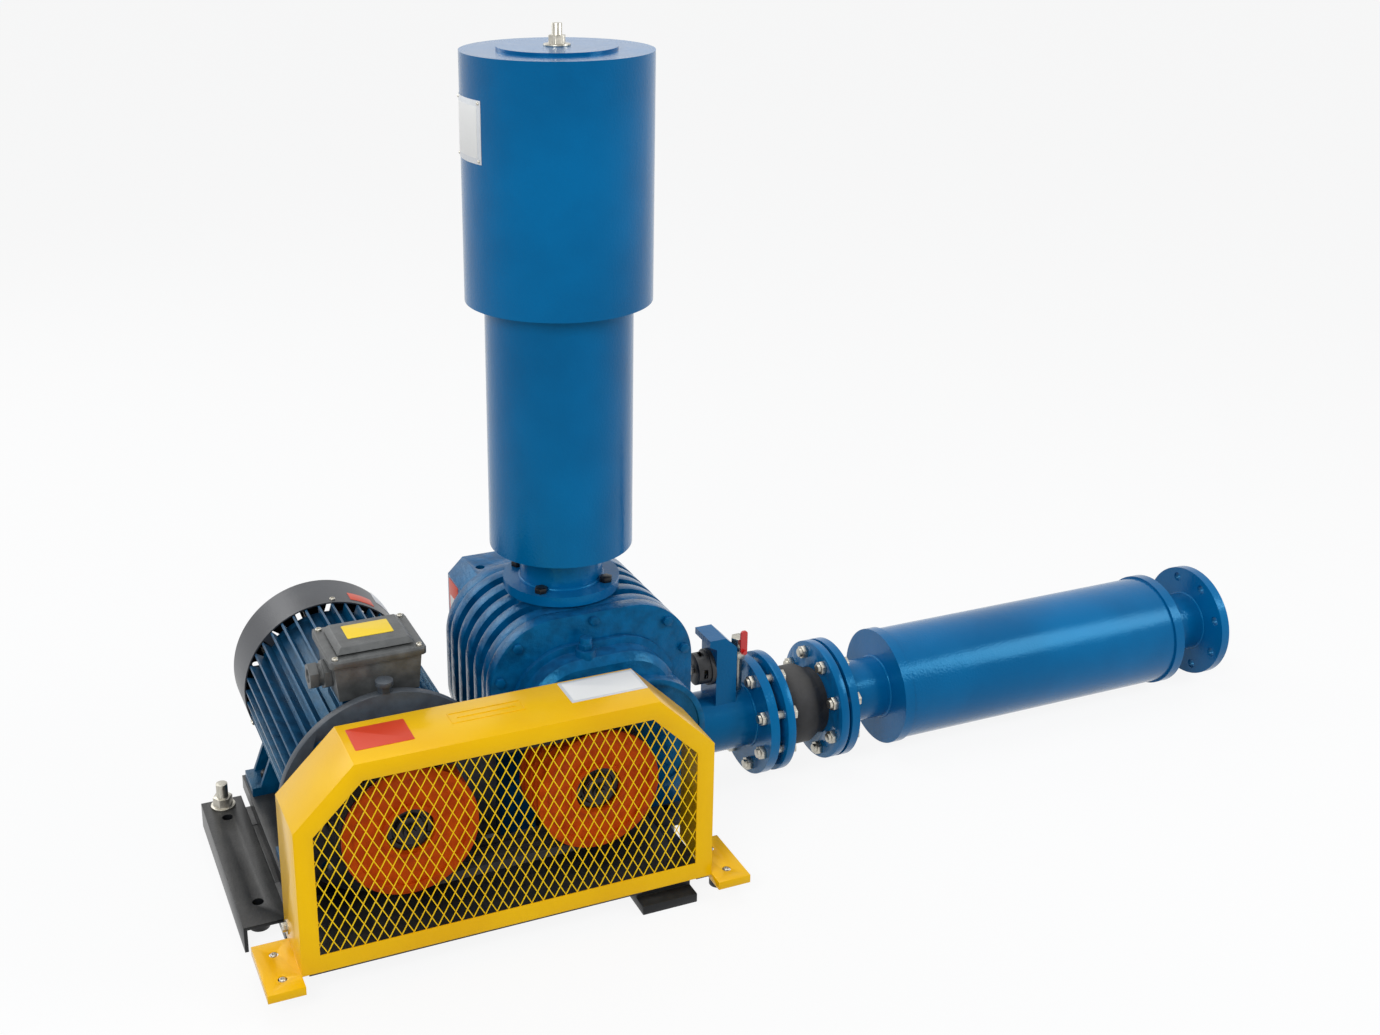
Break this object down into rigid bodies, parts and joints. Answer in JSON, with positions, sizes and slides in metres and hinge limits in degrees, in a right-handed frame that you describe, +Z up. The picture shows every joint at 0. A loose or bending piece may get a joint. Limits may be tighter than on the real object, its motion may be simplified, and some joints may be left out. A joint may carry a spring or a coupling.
{
  "type": "roots vacuum pump",
  "caption": "Belt-driven three-lobe roots vacuum pump on a welded skid, with motor, mesh belt guard, upright inlet silencer with filter, relief valve, check valve and outlet silencer.",
  "frame": {"origin": "centre of the four foundation bolts of the skid, at floor level", "axes": "+Z up; +X along the belt guard towards the outlet flange; +Y from the belt guard towards the motor fan"},
  "size_m": [1.997, 0.686, 1.377],
  "materials": {
    "skid_paint": "semi-gloss black enamel",
    "guard_paint": "glossy yellow enamel on folded sheet",
    "rubber": "matt black rubber",
    "cast_blue": "glossy blue enamel on castings",
    "sheet_blue": "glossy blue enamel with slight orange peel",
    "dark_grey": "dark grey enamel",
    "pulley_orange": "orange-red paint",
    "belt_rubber": "fabric-covered belt",
    "zinc": "zinc plate",
    "painted_bolt": "blue enamel",
    "machined_steel": "machined steel",
    "copper": "varnished copper",
    "fan_plastic": "moulded",
    "filter_paper": "pleated paper",
    "valve_black": "black paint",
    "poppet_steel": "machined",
    "lever_red": "red dipped vinyl"
  },
  "bodies": {
    "root": {"base_cross_rails": "skid_paint", "base_long_rails": "skid_paint", "base_right_rail": "skid_paint", "belt_guard": "guard_paint", "blower_bearings": "machined_steel", "blower_casing": "cast_blue", "cable_glands": "dark_grey", "check_valve_body": "valve_black", "cover_bolts": "painted_bolt", "drain_cock_body": "zinc", "drive_belts": "belt_rubber", "drive_end_cover": "cast_blue", "fan_cowl": "dark_grey", "filter_can": "sheet_blue", "filter_element": "filter_paper", "filter_lid": "sheet_blue", "flange_plug": "dark_grey", "front_end_plate": "cast_blue", "gear_case": "cast_blue", "guard_feet": "rubber", "guard_mesh": "guard_paint", "inlet_flange_bolts": "zinc", "inlet_silencer": "sheet_blue", "joint_flanges": "sheet_blue", "lid_stud": "zinc", "lifting_eye": "zinc", "line_bolts": "zinc", "line_gasket": "rubber", "motor_bearings": "machined_steel", "motor_flange": "dark_grey", "motor_foot_bolts": "zinc", "motor_frame": "cast_blue", "motor_plate": "skid_paint", "motor_rear_shield": "cast_blue", "oil_filler_plug": "painted_bolt", "outlet_manifold": "cast_blue", "outlet_silencer": "sheet_blue", "outlet_tee": "sheet_blue", "rail_stud": "zinc", "rear_end_plate": "cast_blue", "relief_spring": "zinc", "relief_valve_body": "valve_black", "rubber_joint": "rubber", "shaft_seal": "rubber", "silencer_core": "machined_steel", "stator_core": "machined_steel", "stator_windings": "copper", "terminal_box": "dark_grey", "terminal_lid": "dark_grey"},
    "drive_rotor": {"drive_rotor": "machined_steel", "drive_gear": "machined_steel", "blower_pulley": "pulley_orange"},
    "driven_rotor": {"driven_rotor": "machined_steel", "driven_gear": "machined_steel"},
    "motor_rotor": {"motor_shaft": "machined_steel", "cooling_fan": "fan_plastic", "motor_pulley": "pulley_orange"},
    "drain_lever": {"drain_cock_lever": "lever_red"},
    "relief_poppet": {"relief_poppet": "poppet_steel"},
    "check_flap": {"check_flap": "valve_black"}
  },
  "joints": [
    {"name": "drive_spin", "type": "hinge", "parent": "root", "child": "drive_rotor", "pos_m": [0.157, 0, 0.23], "axis": [0, 1, 0], "continuous": true},
    {"name": "driven_spin", "type": "hinge", "parent": "root", "child": "driven_rotor", "pos_m": [0.291, 0, 0.23], "axis": [0, 1, 0], "continuous": true},
    {"name": "motor_spin", "type": "hinge", "parent": "root", "child": "motor_rotor", "pos_m": [-0.148, 0, 0.23], "axis": [0, 1, 0], "continuous": true},
    {"name": "drain_lever_turn", "type": "hinge", "parent": "root", "child": "drain_lever", "pos_m": [0.556, -0.0233, 0.256], "axis": [0, 1, 0], "range_deg": [0, 90]},
    {"name": "relief_lift", "type": "slide", "parent": "root", "child": "relief_poppet", "axis": [-1, 0, 0], "range_m": [0, 0.006], "stiffness_N_per_m": 2500, "springref_m": -0.004, "deforming": ["relief_spring"]},
    {"name": "check_flap_swing", "type": "hinge", "parent": "root", "child": "check_flap", "pos_m": [0.593, 0, 0.153], "axis": [0, -1, 0], "range_deg": [0, 55]}
  ],
  "couplings": [
    {"joint": "driven_spin", "follows": "drive_spin", "ratio": -1},
    {"joint": "motor_spin", "follows": "drive_spin", "ratio": 0.95122}
  ]
}
